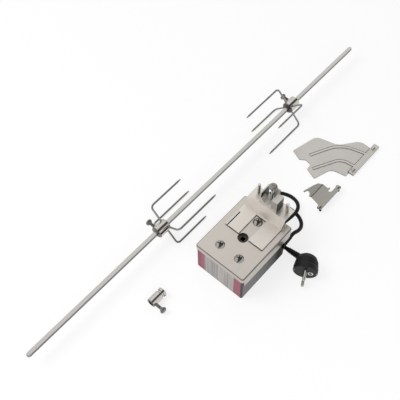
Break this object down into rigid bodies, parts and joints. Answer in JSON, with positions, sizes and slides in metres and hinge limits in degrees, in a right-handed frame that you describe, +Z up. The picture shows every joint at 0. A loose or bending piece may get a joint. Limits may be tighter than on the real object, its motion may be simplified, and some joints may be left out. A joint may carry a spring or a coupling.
{
  "type": "rotisserie spit kit",
  "caption": "Rotisserie kit laid out flat: square spit with sliding meat forks, stop collar, geared motor box with spit holder, mains lead and plug, support plate and spit bracket.",
  "frame": {"origin": "bottom centre of the layout's box, measured without the lead and plug", "axes": "+X along the spit from the collar's end to the support plate's end, +Z up"},
  "size_m": [0.764, 0.249, 0.1125],
  "materials": {
    "brushed_sheet": "satin, brushed",
    "polished_steel": "polished",
    "grey_sheet": "satin",
    "dark_steel": "satin",
    "frame_steel": "satin",
    "gear_steel": "satin",
    "magnet": "matte",
    "winding": "satin",
    "brass": "satin",
    "black_oxide": "satin",
    "label_pale": "satin",
    "label_red": "satin",
    "pale_plastic": "matte",
    "black_rubber": "matte",
    "black_plastic": "matte",
    "plug_metal": "plated"
  },
  "bodies": {
    "kit": {"spit_bar": "brushed_sheet", "collar_sleeve": "polished_steel", "motor_can": "brushed_sheet", "face_plate": "brushed_sheet", "face_screws": "polished_steel", "label_field": "label_pale", "label_bands": "label_red", "holder_bracket": "brushed_sheet", "lug_studs": "polished_steel", "spit_cradle": "brushed_sheet", "cradle_trough": "brushed_sheet", "gear_base": "frame_steel", "gear_bridge": "frame_steel", "gear_posts": "brass", "output_bush": "brass", "idler_pins": "polished_steel", "stator_coil": "winding", "stator_cup": "frame_steel", "terminal_block": "pale_plastic", "lead_tail": "black_rubber", "lead_gland": "black_rubber", "power_lead": "black_rubber", "plug_boot": "black_rubber", "plug_body": "black_plastic", "plug_pins": "plug_metal", "plug_earth_strips": "plug_metal", "support_plate": "brushed_sheet", "clamp_bar": "brushed_sheet", "clamp_bolts": "polished_steel", "spit_bracket": "grey_sheet", "spit_bracket_screws": "black_oxide"},
    "fork_1": {"fork_1_hub": "polished_steel", "fork_1_long_tines": "polished_steel", "fork_1_short_tines": "polished_steel"},
    "fork_1_clamp": {"fork_1_hand_screw": "polished_steel"},
    "fork_2": {"fork_2_hub": "polished_steel", "fork_2_long_tines": "polished_steel", "fork_2_short_tines": "polished_steel"},
    "fork_2_clamp": {"fork_2_hand_screw": "polished_steel"},
    "collar_hand_screw": {"collar_screw": "polished_steel"},
    "lock_screw": {"cradle_lock": "black_oxide"},
    "drive": {"drive_socket": "dark_steel", "output_gear": "gear_steel"},
    "idler_1": {"idler_gear_1": "gear_steel"},
    "idler_2": {"idler_gear_2": "gear_steel"},
    "rotor": {"rotor_pinion": "gear_steel", "rotor_magnet": "magnet"}
  },
  "joints": [
    {"name": "fork_1_slide", "type": "slide", "parent": "kit", "child": "fork_1", "axis": [1, 0, 0], "range_m": [-0.25, 0.07]},
    {"name": "fork_2_slide", "type": "slide", "parent": "kit", "child": "fork_2", "axis": [1, 0, 0], "range_m": [-0.07, 0.16]},
    {"name": "fork_1_screw_turn", "type": "hinge", "parent": "fork_1", "child": "fork_1_clamp", "pos_m": [-0.121, 0.0795, 0.0276], "axis": [0, 1, 0], "continuous": true},
    {"name": "fork_2_screw_turn", "type": "hinge", "parent": "fork_2", "child": "fork_2_clamp", "pos_m": [0.211, 0.0795, 0.0276], "axis": [0, 1, 0], "continuous": true},
    {"name": "collar_screw_turn", "type": "hinge", "parent": "kit", "child": "collar_hand_screw", "pos_m": [-0.206, -0.012, 0.0075], "axis": [0, -1, 0], "continuous": true},
    {"name": "lock_screw_turn", "type": "hinge", "parent": "kit", "child": "lock_screw", "pos_m": [0.00604, -0.0446, 0.09], "axis": [0, 0, 1], "continuous": true},
    {"name": "drive_spin", "type": "hinge", "parent": "kit", "child": "drive", "pos_m": [-0.0635, -0.04885, 0.05], "axis": [0, 0, 1], "continuous": true},
    {"name": "idler_1_spin", "type": "hinge", "parent": "kit", "child": "idler_1", "pos_m": [-0.0635, -0.02485, 0.045], "axis": [0, 0, 1], "continuous": true},
    {"name": "idler_2_spin", "type": "hinge", "parent": "kit", "child": "idler_2", "pos_m": [-0.04577, -0.02798, 0.04], "axis": [0, 0, 1], "continuous": true},
    {"name": "rotor_spin", "type": "hinge", "parent": "kit", "child": "rotor", "pos_m": [-0.03962, -0.04489, 0.03], "axis": [0, 0, 1], "continuous": true}
  ],
  "couplings": [
    {"joint": "idler_1_spin", "follows": "drive_spin", "ratio": -4},
    {"joint": "idler_2_spin", "follows": "drive_spin", "ratio": 16},
    {"joint": "rotor_spin", "follows": "drive_spin", "ratio": -64}
  ]
}
